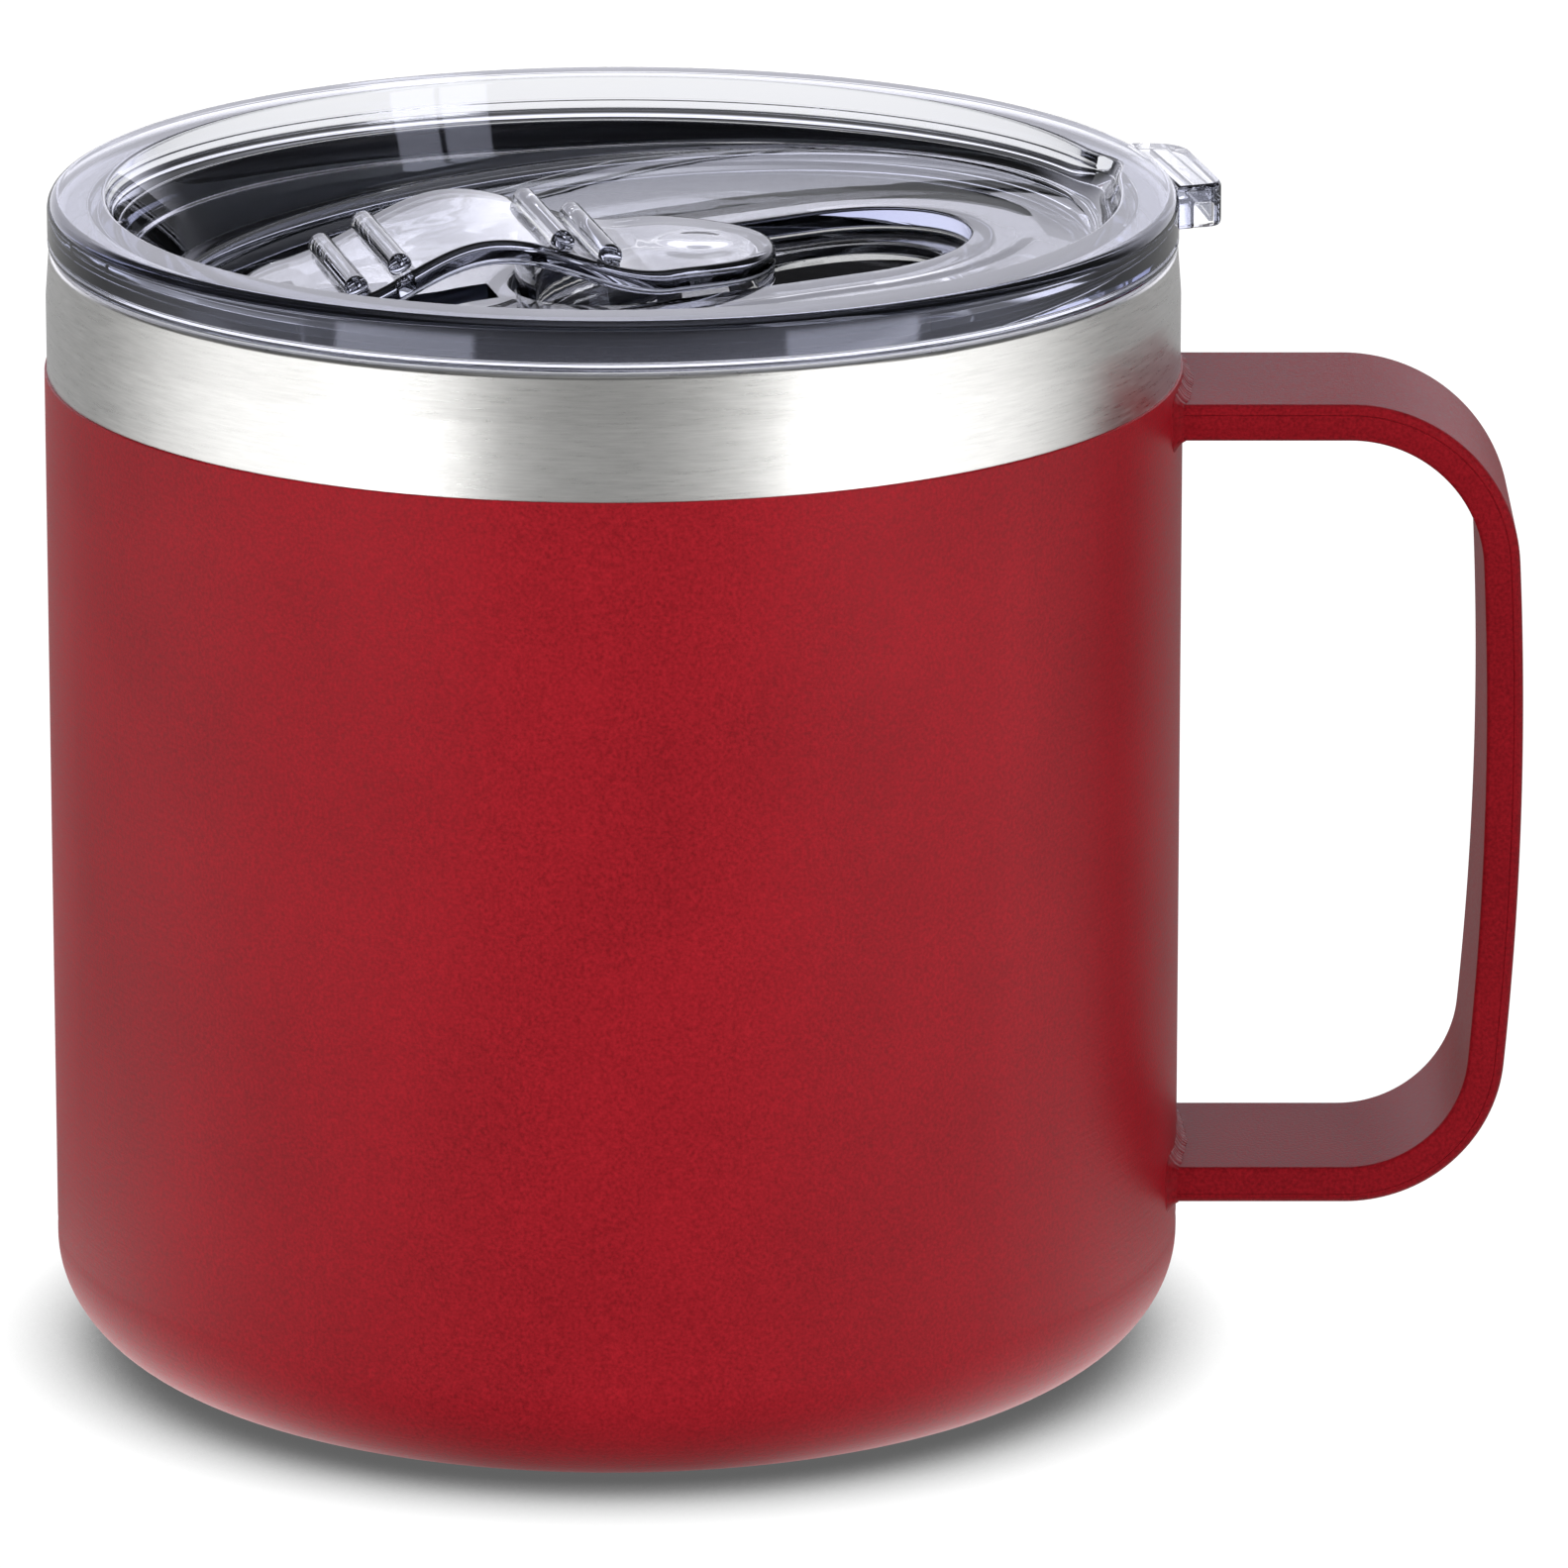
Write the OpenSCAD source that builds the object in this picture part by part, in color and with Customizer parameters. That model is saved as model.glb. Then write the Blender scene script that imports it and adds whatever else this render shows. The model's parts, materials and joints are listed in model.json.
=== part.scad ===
// Insulated travel mug: a double-walled steel mug with a strap handle and a clear press-in lid,
// whose slider opens and closes the drinking hole. All sizes are in millimetres. The origin is the
// centre of the base, +Z is up and the handle points along +X.

/* [Mug body] */
// Outside radius over the powder coat
body_r = 46.5; // [46.3:0.1:47]
// Height of the steel rim
rim_z = 93.1; // [92.8:0.1:93.1]
// Height of the powder coat's upper edge
coat_top_z = 83; // [82.5:0.5:86]
// Thickness of the powder coat
coat_t = 0.2; // [0.1:0.05:0.25]
// Thickness of the stamped steel walls
wall = 0.6; // [0.5:0.1:0.8]
// How far the rounded bottom corner reaches in from the side
corner_in = 11.2; // [9:0.1:12]
// How high the rounded bottom corner reaches
corner_up = 9.3; // [8:0.1:10]
// Height of the weld seam between the outer shell and the base shell
seam_z = 10.4; // [10.2:0.1:11]
// Depth of the recess in the base
base_recess = 1.6; // [1.2:0.1:2]

/* [Liner] */
// Inside radius at the mouth
mouth_r = 44.4; // [44.3:0.1:44.5]
// Inside radius below the shoulder
liner_r = 42.4; // [41:0.1:42.6]
// Height of the drinking space's floor
floor_z = 7.2; // [7:0.1:9]
// Radius of the corner between the liner's wall and floor
liner_corner = 10; // [8:0.5:12]
// Height of the shoulder's upper edge
shoulder_z = 82; // [80:0.5:83]
// Height over which the shoulder narrows
shoulder_h = 5; // [4:0.5:7]

/* [Handle] */
// Outermost reach from the mug's axis
handle_reach = 74.3; // [72:0.1:78]
// Height of the upper leg's top face
handle_top_z = 81.5; // [79:0.1:82]
// Height of the lower leg's bottom face
handle_low_z = 13.7; // [13:0.1:16]
// Width of the strap
strap_w = 19; // [16:0.5:22]
// Thickness of the strap
strap_t = 3.0; // [2.8:0.1:3.6]
// Thickness of the strap's sheet steel
strap_wall = 0.8; // [0.6:0.1:1]
// Outer radius of the upper corner
upper_bend_r = 14; // [12:0.5:16]
// Outer radius of the lower corner
lower_bend_r = 13; // [11:0.5:15]
// Radius of the grip's slight bow
bow_r = 300; // [200:10:500]
// Height at which the bow reaches furthest out
bow_z = 52; // [48:1:56]
// Width of the weld bead around each leg
bead = 0.9; // [0.6:0.1:1.2]

/* [Lid] */
// How far the lid is turned from the handle, in degrees
lid_turn = 13; // [0:1:30]
// Height of the lid's flange above the base
lid_top_z = 97.4; // [97.3:0.1:98]
// Outside radius of the flange
flange_r = 46.1; // [46:0.1:46.3]
// Slope of the recess's wall, in degrees from upright
recess_draft = 24; // [22:1:25]
// Thickness of the tab's and the pocket's walls
lid_wall = 1.6; // [1.4:0.1:1.6]
// Height of the deck at the mug's axis
deck_z = 90.2; // [90:0.1:91.4]
// Slope of the deck, in degrees, high at the tab
deck_tilt = 5; // [4:0.5:5]
// Thickness of the deck
deck_t = 1.8; // [1.6:0.1:1.8]
// Radius of the pocket's round ends
pocket_r = 10.4; // [10.3:0.1:10.6]
// Depth of the pocket
pocket_d = 2.4; // [2.4:0.1:2.6]
// Radius of the drinking hole's round ends
hole_r = 8.2; // [7.6:0.1:8.2]
// Reach of the thumb tab from the mug's axis
tab_reach = 50; // [49:0.1:52]
// Width of the thumb tab
tab_w = 16.8; // [14:0.1:18]

/* [Slider] */
// Width of the slider
slider_w = 20; // [19.6:0.1:20]
// Length of the slider
slider_l = 44.4; // [44:0.1:44.6]
// Thickness of the slider's plate
slider_t = 2; // [1.8:0.1:2]
// Travel from open to closed
slider_travel = 15.8; // [15.4:0.1:15.8]

/* [Hidden] */
$fn = 96;
cut = 0.1; // how far a cutting shape runs past the face it cuts

// Steel shells
steel_r = body_r - coat_t;
corner_x = steel_r - corner_in;
rim_r = steel_r - 0.3;
rim_round = 0.35;
band_taper_z = rim_z - 4;
neck_z = rim_z - 2.5;
coat_low_z = 0.4;
foot_inner_r = corner_x - 1.9;
recess_slope = 0.8;
dimple_r = 7;
dimple_h = 1.4;
port_r = 1.2;
cover_r = foot_inner_r - recess_slope - 0.6;
cover_t = 0.6;
foil_t = 0.2;
foil_gap = 0.05;
getter_x = 20;
getter_r = 4;
getter_h = 1.6;

// Handle
root_x = 40;
bow_x = handle_reach - bow_r;
upper_bend_z = handle_top_z - upper_bend_r;
lower_bend_z = handle_low_z + lower_bend_r;
upper_bend_x = bow_x + sqrt(pow(bow_r - upper_bend_r, 2) - pow(upper_bend_z - bow_z, 2));
lower_bend_x = bow_x + sqrt(pow(bow_r - lower_bend_r, 2) - pow(lower_bend_z - bow_z, 2));
upper_bend_a = atan2(upper_bend_z - bow_z, upper_bend_x - bow_x);
lower_bend_a = atan2(lower_bend_z - bow_z, lower_bend_x - bow_x);

// Lid
flange_low_z = rim_z + 0.15;
flange_round = 1;
skirt_z = 84;
skirt_r = 42.6;
recess_top_r = 41.4;
skirt_inner_r = 40.4;
deck_r = 41.6;
groove_low_z = 86.4;
groove_top_z = 90.6;
groove_r = 41.85;
fin_r = mouth_r - 0.2;
guide_w = 5;
recess_rib_w = 0.6;
notch_r = 1.3;
tab_t = 4;

// Slider, in the deck's frame with the slider open
tail_x = -31;
tip_x = tail_x + slider_l;
rise_x = -25.5;
peak_x = -12;
trough_x = 3;
tail_h = 3.1;
peak_h = 6.7;
trough_h = 2.2;
tip_h = 1.4;
wave_steps = 30;
rib_x = [-22.6, -18.9, -5.4, -1.6];
rib_r = 1;
rib_l = 17;
plug_x = [1.6, 3.6];
plug_r = 9.6;
plug_wall = 1.6;
stem_x = [-30.2, -26.2];
prong_y = [0.8, 2.3];
hook_y = 3.4;
hook_h = 1.1;

// Openings in the deck, placed by the slider's two ends of travel
pocket_x = [plug_x[0] + 0.4, plug_x[1] + slider_travel - 0.1];
hole_x = [plug_x[1] + slider_travel - 1.5, plug_x[1] + slider_travel];
guide_x = [stem_x[0] - 0.3, stem_x[1] + slider_travel + 0.3];

function arc(cx, cy, rx, ry, from, to, n) =
    [for (i = [0:n]) let (a = from + (to - from) * i / n) [cx + rx * cos(a), cy + ry * sin(a)]];

function reversed(points) = [for (i = [len(points) - 1:-1:0]) points[i]];

// The bottom corner's curve, a given distance inside the steel's outer face
function corner(inset, from = 0, to = -90) =
    arc(corner_x, corner_up, corner_in - inset, corner_up - inset, from, to, 16);

// The side view of the handle's strap, a given distance inside its outer face
function strap_line(inset) = concat(
    [[root_x, handle_top_z - inset]],
    arc(upper_bend_x, upper_bend_z, upper_bend_r - inset, upper_bend_r - inset, 90, upper_bend_a, 12),
    arc(bow_x, bow_z, bow_r - inset, bow_r - inset, upper_bend_a, lower_bend_a, 8),
    arc(lower_bend_x, lower_bend_z, lower_bend_r - inset, lower_bend_r - inset, lower_bend_a, -90, 12),
    [[root_x, handle_low_z + inset]]
);

// Height of the slider's top face above the deck
function ease(a, b, t) = a + (b - a) * (1 - cos(180 * t)) / 2;
function wave_h(x) =
    x < rise_x ? tail_h :
    x < peak_x ? ease(tail_h, peak_h, (x - rise_x) / (peak_x - rise_x)) :
    x < trough_x ? ease(peak_h, trough_h, (x - peak_x) / (trough_x - peak_x)) :
    ease(trough_h, tip_h, (x - trough_x) / (tip_x - trough_x));
function wave_line(drop) =
    [for (i = [0:wave_steps]) let (x = tail_x + slider_l * i / wave_steps) [x, wave_h(x) - drop]];

// ---- Steel body ----

module outer_shell() {
    color("silver") rotate_extrude() polygon(concat(
        [[steel_r - wall, seam_z], [steel_r, seam_z], [steel_r, band_taper_z]],
        arc(rim_r - rim_round, rim_z - rim_round, rim_round, rim_round, 0, 90, 4),
        [[mouth_r + wall, rim_z], [mouth_r + wall, neck_z], [steel_r - wall, neck_z - 1.5]]
    ));
}

module base_shell() {
    dimple_z = base_recess + dimple_h;
    color("silver") rotate_extrude() polygon(concat(
        [[steel_r - wall, seam_z], [steel_r, seam_z]],
        corner(0),
        [[foot_inner_r, 0], [foot_inner_r - recess_slope, base_recess]],
        [[dimple_r, base_recess], [dimple_r - wall, dimple_z], [port_r, dimple_z]],
        [[port_r, dimple_z + wall], [dimple_r, dimple_z + wall], [dimple_r + wall, base_recess + wall]],
        [[foot_inner_r, base_recess + wall], [foot_inner_r + wall, wall]],
        reversed(corner(wall))
    ));
}

module inner_liner() {
    narrow_z = shoulder_z - shoulder_h;
    corner_c = [liner_r - liner_corner, floor_z + liner_corner];
    color("gainsboro") rotate_extrude() polygon(concat(
        [[0, floor_z - wall]],
        arc(corner_c[0], corner_c[1], liner_corner + wall, liner_corner + wall, -90, 0, 12),
        [[liner_r + wall, narrow_z], [mouth_r + wall, shoulder_z], [mouth_r + wall, rim_z]],
        arc(mouth_r + rim_round, rim_z - rim_round, rim_round, rim_round, 90, 180, 4),
        [[mouth_r, shoulder_z], [liner_r, narrow_z]],
        arc(corner_c[0], corner_c[1], liner_corner, liner_corner, 0, -90, 12),
        [[0, floor_z]]
    ));
}

// A skin over both steel shells, open where the handle's legs are welded to the steel
module powder_coat() {
    low_a = -asin((corner_up - coat_low_z) / (corner_up + coat_t));
    color("firebrick") difference() {
        rotate_extrude() polygon(concat(
            [[steel_r, coat_top_z], [body_r, coat_top_z]],
            corner(-coat_t, 0, low_a),
            corner(0, low_a, 0)
        ));
        leg_block(handle_top_z - strap_t, 0);
        leg_block(handle_low_z, 0);
    }
}

module base_cover() {
    color("silver") rotate_extrude() polygon([
        [0, base_recess - cover_t],
        [cover_r - cover_t, base_recess - cover_t],
        [cover_r, base_recess - cover_t / 2],
        [cover_r, base_recess],
        [0, base_recess]
    ]);
}

// Solder glass melted into the port through which the air was drawn out
module vacuum_seal() {
    puck_z = base_recess + dimple_h;
    color("dimgray") {
        translate([0, 0, puck_z - 0.7]) cylinder(r = 3.5, h = 0.7);
        translate([0, 0, puck_z]) cylinder(r = port_r, h = wall);
    }
}

// Gas-absorbing pellet inside the vacuum space
module getter() {
    color("darkgray") translate([getter_x, 0, base_recess + wall]) cylinder(r = getter_r, h = getter_h);
}

// Spot-welded strip that holds the getter down
module getter_holder() {
    strip_t = 0.4;
    strip_w = 3;
    foot_l = 3;
    clear = 0.2;
    side = getter_r + clear;
    color("silver") translate([getter_x, strip_w / 2, base_recess + wall]) rotate([90, 0, 0])
        linear_extrude(strip_w) polygon([
            [-side - foot_l, 0], [-side - foot_l, strip_t], [-side - strip_t, strip_t],
            [-side - strip_t, getter_h + strip_t], [side + strip_t, getter_h + strip_t],
            [side + strip_t, strip_t], [side + foot_l, strip_t], [side + foot_l, 0],
            [side, 0], [side, getter_h], [-side, getter_h], [-side, 0]
        ]);
}

// Foil cup around the liner, which turns back radiated heat
module foil_wrap() {
    r = liner_r + wall + foil_gap;
    round_r = liner_corner + wall + foil_gap;
    c = [liner_r - liner_corner, floor_z + liner_corner];
    color("lightgray") rotate_extrude() polygon(concat(
        [[0, c[1] - round_r - foil_t]],
        arc(c[0], c[1], round_r + foil_t, round_r + foil_t, -90, 0, 12),
        [[r + foil_t, shoulder_z - shoulder_h - 1], [r, shoulder_z - shoulder_h - 1]],
        arc(c[0], c[1], round_r, round_r, 0, -90, 12),
        [[0, c[1] - round_r]]
    ));
}

// ---- Handle ----

// The strap's volume between two depths below its outer face, cut off at the steel body
module strap(from, to, width) {
    difference() {
        rotate([90, 0, 0]) linear_extrude(width, center = true)
            polygon(concat(strap_line(from), reversed(strap_line(to))));
        cylinder(r = steel_r, h = rim_z);
    }
}

module handle_outer_strap() {
    color("firebrick") strap(0, strap_wall, strap_w);
}

// Channel that closes the hollow handle from the finger side
module handle_inner_channel() {
    color("firebrick") difference() {
        strap(strap_wall, strap_t, strap_w);
        strap(strap_wall - cut, strap_t - strap_wall, strap_w - 2 * strap_wall);
    }
}

// Block with the outline of a handle leg, grown by a margin
module leg_block(z, margin) {
    translate([root_x, -strap_w / 2 - margin, z - margin])
        cube([body_r + 3 - root_x, strap_w + 2 * margin, strap_t + 2 * margin]);
}

// Weld bead that follows the mug's side around a handle leg
module weld_bead(z) {
    color("firebrick") difference() {
        intersection() {
            cylinder(r = body_r + bead, h = rim_z);
            leg_block(z, bead);
        }
        cylinder(r = body_r, h = rim_z);
        leg_block(z, 0);
    }
}

module handle_weld_top() {
    weld_bead(handle_top_z - strap_t);
}

module handle_weld_bottom() {
    weld_bead(handle_low_z);
}

// ---- Lid ----

// Places a shape on the sloping deck of the turned lid
module on_deck() {
    rotate([0, 0, lid_turn]) translate([0, 0, deck_z]) rotate([0, -deck_tilt, 0]) children();
}

// A slot's outline with round ends at two places along X
module slot(ends, r) {
    for (x = ends) translate([x, 0]) circle(r);
    translate([ends[0], -r]) square([ends[1] - ends[0], 2 * r]);
}

// Inside radius of the recess at a height
function recess_r(z) = recess_top_r - (lid_top_z - z) * tan(recess_draft);

// Height at which the recess's wall has a radius
function recess_z(r) = lid_top_z - (recess_top_r - r) / tan(recess_draft);

// Flange and skirt
module lid_ring() {
    edge = 0.3;
    rotate_extrude() polygon(concat(
        [[skirt_inner_r, skirt_z], [skirt_inner_r, recess_z(skirt_inner_r)]],
        [[recess_r(lid_top_z - edge), lid_top_z - edge], [recess_top_r + edge, lid_top_z]],
        arc(flange_r - flange_round, lid_top_z - flange_round, flange_round, flange_round, 90, 0, 6),
        [[flange_r, flange_low_z + 0.4], [flange_r - 0.4, flange_low_z]],
        [[skirt_r, flange_low_z], [skirt_r, groove_top_z], [groove_r, groove_top_z], [groove_r, groove_low_z]],
        [[skirt_r, groove_low_z], [skirt_r, skirt_z + 0.4], [skirt_r - 0.4, skirt_z]]
    ));
}

// Sloping wall between the flange and the deck, cut off at the deck's lower face
module recess_wall() {
    outer_r = skirt_inner_r + 0.3;
    intersection() {
        rotate_extrude()
            polygon([[recess_r(skirt_z), skirt_z], [outer_r, skirt_z], [outer_r, recess_z(outer_r)]]);
        on_deck() translate([-60, -60, -deck_t]) cube([120, 120, 30]);
    }
}

// Thin rib down the recess's wall at its low end
module recess_rib() {
    low_z = deck_z - 4.2;
    high_z = lid_top_z - 0.6;
    root = 0.4;
    proud = 0.5;
    rotate([0, 0, lid_turn]) rotate([90, 0, 0]) linear_extrude(recess_rib_w, center = true) polygon([
        [-recess_r(high_z) - root, high_z], [-recess_r(high_z) + proud, high_z],
        [-recess_r(low_z) + proud, low_z], [-recess_r(low_z) - root, low_z]
    ]);
}

module deck_plate() {
    intersection() {
        cylinder(r = deck_r, h = lid_top_z);
        on_deck() translate([-60, -60, -deck_t]) cube([120, 120, deck_t]);
    }
    on_deck() translate([0, 0, -deck_t - pocket_d])
        linear_extrude(deck_t + pocket_d - cut) slot(pocket_x, pocket_r + lid_wall);
}

// Thumb tab: a rounded block, hollow below
module thumb_tab() {
    low_w = tab_w - 2;
    corner_r = 1.5;
    length = tab_reach - flange_r + lid_wall / 2;
    rotate([0, 0, lid_turn]) translate([tab_reach - length, 0, lid_top_z - 0.1 - tab_t]) difference() {
        union() {
            translate([0, -tab_w / 2, 0]) cube([length - corner_r, tab_w, tab_t]);
            for (y = [-1, 1]) translate([length - corner_r, y * (tab_w / 2 - corner_r), 0])
                cylinder(r = corner_r, h = tab_t);
            translate([length - 2 * corner_r, -tab_w / 2 + corner_r, 0])
                cube([2 * corner_r, tab_w - 2 * corner_r, tab_t]);
        }
        translate([lid_wall, -low_w / 2 + 0.6, -cut])
            cube([length - 2 * lid_wall, low_w - 1.2, tab_t - lid_wall + cut]);
    }
}

module lid_shell() {
    color("lightsteelblue", 0.5) difference() {
        union() {
            lid_ring();
            recess_wall();
            recess_rib();
            deck_plate();
            thumb_tab();
        }
        on_deck() translate([0, 0, -pocket_d]) linear_extrude(pocket_d + 1) slot(pocket_x, pocket_r);
        on_deck() translate([0, 0, -10]) linear_extrude(10) slot(hole_x, hole_r);
        on_deck() translate([guide_x[0], -guide_w / 2, -deck_t - 1])
            cube([guide_x[1] - guide_x[0], guide_w, deck_t + 2]);
        // notch at the high end of the recess
        rotate([0, 0, lid_turn]) translate([recess_top_r - 1, 0, lid_top_z - 0.5]) rotate([0, 90, 0])
            cylinder(r = notch_r, h = 1.8);
    }
}

// Silicone ring with three fins, in the skirt's groove
module lid_gasket() {
    low = groove_low_z + 0.1;
    top = groove_top_z - 0.1;
    inner_r = groove_r + 0.15;
    web_r = skirt_r + 0.3;
    pitch = (top - low) / 3;
    color("whitesmoke", 0.6) rotate_extrude() polygon(concat(
        [[inner_r, low]],
        [for (i = [0:2]) each [
            [web_r, low + i * pitch],
            [fin_r, low + (i + 0.35) * pitch],
            [fin_r, low + (i + 0.65) * pitch],
            [web_r, low + (i + 0.75) * pitch]
        ]],
        [[web_r, top], [inner_r, top]]
    ));
}

// ---- Slider ----

// A side view in the deck's frame, extruded across the slider
module across(points, width) {
    rotate([90, 0, 0]) linear_extrude(width, center = true) polygon(points);
}

module slider_plate() {
    r = slider_w / 2;
    intersection() {
        across(concat(wave_line(0), reversed(wave_line(slider_t))), slider_w);
        translate([0, 0, -5]) linear_extrude(20) slot([tail_x + r, tip_x - r], r);
    }
}

// Ring under the slider's end, which closes the drinking hole
module slider_plug() {
    intersection() {
        across(concat(wave_line(slider_t / 2), [[tip_x, -pocket_d + 0.2], [tail_x, -pocket_d + 0.2]]), slider_w);
        translate([0, 0, -5]) linear_extrude(20) difference() {
            slot(plug_x, plug_r);
            slot(plug_x, plug_r - plug_wall);
        }
    }
}

// Two springy prongs with hooks, which run in the deck's guide slot
module slider_clip() {
    length = stem_x[1] - stem_x[0];
    hook_top = -deck_t - 0.15;
    for (side = [0, 1]) mirror([0, side, 0]) translate([stem_x[0], prong_y[0], hook_top - hook_h]) {
        cube([length, prong_y[1] - prong_y[0], tail_h - slider_t / 2 - hook_top + hook_h]);
        cube([length, hook_y - prong_y[0], hook_h]);
    }
}

module thumb_rib(x) {
    translate([x, 0, wave_h(x) + 0.4 * rib_r]) {
        rotate([90, 0, 0]) cylinder(r = rib_r, h = rib_l - 2 * rib_r, center = true);
        for (y = [-1, 1]) translate([0, y * (rib_l / 2 - rib_r), 0]) sphere(rib_r);
    }
}

module slider() {
    color("aliceblue", 0.5) on_deck() {
        slider_plate();
        slider_plug();
        slider_clip();
        for (x = rib_x) thumb_rib(x);
    }
}

outer_shell();
base_shell();
inner_liner();
powder_coat();
base_cover();
vacuum_seal();
getter();
getter_holder();
foil_wrap();
handle_outer_strap();
handle_inner_channel();
handle_weld_top();
handle_weld_bottom();
lid_shell();
lid_gasket();
slider();
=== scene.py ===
import json
import math

import bmesh
import bpy
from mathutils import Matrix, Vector


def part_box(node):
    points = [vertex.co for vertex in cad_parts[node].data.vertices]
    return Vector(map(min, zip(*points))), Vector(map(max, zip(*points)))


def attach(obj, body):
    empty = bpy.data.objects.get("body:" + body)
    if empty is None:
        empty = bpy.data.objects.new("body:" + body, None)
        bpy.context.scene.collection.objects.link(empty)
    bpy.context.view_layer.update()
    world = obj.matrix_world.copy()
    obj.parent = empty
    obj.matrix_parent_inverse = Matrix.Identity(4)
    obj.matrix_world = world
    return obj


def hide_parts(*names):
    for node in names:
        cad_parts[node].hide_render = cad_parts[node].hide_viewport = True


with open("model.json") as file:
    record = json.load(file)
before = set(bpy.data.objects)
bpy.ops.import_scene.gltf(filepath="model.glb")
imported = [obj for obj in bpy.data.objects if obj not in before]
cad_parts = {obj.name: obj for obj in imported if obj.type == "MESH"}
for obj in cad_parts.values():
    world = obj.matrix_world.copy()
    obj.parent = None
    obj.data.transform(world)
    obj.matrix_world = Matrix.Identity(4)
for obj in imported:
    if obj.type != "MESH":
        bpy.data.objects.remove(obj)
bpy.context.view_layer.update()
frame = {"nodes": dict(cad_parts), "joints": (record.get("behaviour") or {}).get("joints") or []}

# ---- Sizes in millimetres: places come from the frame, and the rest are the details' own sizes ----

MM = 0.001


def node_box(node):
    """Lowest and highest corner of a CAD node, in millimetres."""
    low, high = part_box(node)
    return Vector(low) / MM, Vector(high) / MM


coat_low, coat_high = node_box("powder_coat")
shell_low, shell_high = node_box("outer_shell")
cover_low, cover_high = node_box("base_cover")
liner_low, liner_high = node_box("inner_liner")
strap_low, strap_high = node_box("handle_outer_strap")
channel_high = node_box("handle_inner_channel")[1]
lid_low, lid_high = node_box("lid_shell")
gasket_low, gasket_high = node_box("lid_gasket")
slider_joint = next(j for j in frame["joints"] if j["name"] == "slider_slide")

# The outer shells and the coat over them
BODY_R = (coat_high.x - coat_low.x) / 2
STEEL_R = (shell_high.x - shell_low.x) / 2
COAT_TOP = coat_high.z
COAT_LOW = coat_low.z
RIM_Z = shell_high.z
SEAM_Z = shell_low.z
WALL = 0.6
# The rounded bottom corner is an ellipse's quarter, this wide and this high
CORNER_IN = 11.2
CORNER_UP = 9.3
FOOT_R = STEEL_R - CORNER_IN
COVER_R = (cover_high.x - cover_low.x) / 2
RECESS_Z = cover_high.z
COVER_Z = cover_low.z

# The liner, which narrows below the lid's skirt from SHOULDER_Z down to NARROW_Z
MOUTH_OUT_R = (liner_high.x - liner_low.x) / 2
MOUTH_R = MOUTH_OUT_R - WALL
LINER_R = 42.4
FLOOR_Z = liner_low.z + WALL
LINER_CORNER = 10
SHOULDER_Z = 82
NARROW_Z = 77

# The strap handle, whose grip bows out on a large radius about BOW_Z
HANDLE_REACH = strap_high.x
HANDLE_TOP = strap_high.z
HANDLE_LOW = strap_low.z
STRAP_W = strap_high.y - strap_low.y
STRAP_WALL = strap_high.z - channel_high.z
STRAP_T = 3.0
UPPER_BEND_R = 14
LOWER_BEND_R = 13
BOW_R = 300
BOW_Z = 52

# The lid, with its recess's floor, the deck, which slopes along the slider's travel
LID_TOP = lid_high.z
SKIRT_Z = lid_low.z
FLANGE_R = -lid_low.x
SLIDE_AXIS = Vector(slider_joint["axis"])
LID_TURN = math.atan2(SLIDE_AXIS.y, SLIDE_AXIS.x)
DECK_TILT = math.asin(SLIDE_AXIS.z)
DECK_Z = 90.2
DECK_T = 1.8
FLANGE_LOW = RIM_Z + 0.15
LID_WALL = 1.6
SKIRT_R = 42.6
GROOVE_R = 41.85
SKIRT_IN_R = 40.4
RECESS_TOP_R = 41.4
RECESS_DRAFT = math.radians(24)
# How much the deck curls up at its edge, and how far in from the edge that starts
DISH = 0.6
DISH_REACH = 16
# Guide slot: lowest and highest x along the deck, and its width
GUIDE = (-30.5, -10.1, 5)
# Pocket and drinking hole: x of their round ends' middles, and the ends' radius
POCKET = (2.0, 19.3, 10.4)
HOLE = (17.9, 19.4, 8.2)
POCKET_D = 2.4
HOLE_EDGE_T = 0.8
TAB_REACH = 50
TAB_W = 16.8

# The slider, from its tail to its tip along the deck, with round ends
TAIL_X = -31
TIP_X = 13.4
SLIDER_T = 2
SLIDER_R = 10


# ---- Outlines ----


def arc(cx, cy, r, start, end, steps, r_up=None):
    """Points of a circle's arc, or of an ellipse's with r_up as its upright radius, angles in degrees."""
    r_up = r if r_up is None else r_up
    angles = [math.radians(start + (end - start) * i / steps) for i in range(steps + 1)]
    return [(cx + r * math.cos(a), cy + r_up * math.sin(a)) for a in angles]


def rounded(corners, steps=6, closed=False):
    """The outline through corners (x, y, radius), each rounded to its radius."""
    points = []
    for i, (x, y, radius) in enumerate(corners):
        inside = closed or 0 < i < len(corners) - 1
        if not radius or not inside:
            points.append((x, y))
            continue
        corner = Vector((x, y))
        back = (Vector(corners[i - 1][:2]) - corner).normalized()
        ahead = (Vector(corners[(i + 1) % len(corners)][:2]) - corner).normalized()
        half = back.angle(ahead) / 2
        centre = corner + (back + ahead).normalized() * radius / math.sin(half)
        spoke = corner + back * radius / math.tan(half) - centre
        turn = math.pi - 2 * half
        if back.cross(ahead) > 0:
            turn = -turn
        for k in range(steps + 1):
            a = turn * k / steps
            c, s = math.cos(a), math.sin(a)
            points.append((centre.x + spoke.x * c - spoke.y * s, centre.y + spoke.x * s + spoke.y * c))
    return points


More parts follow.
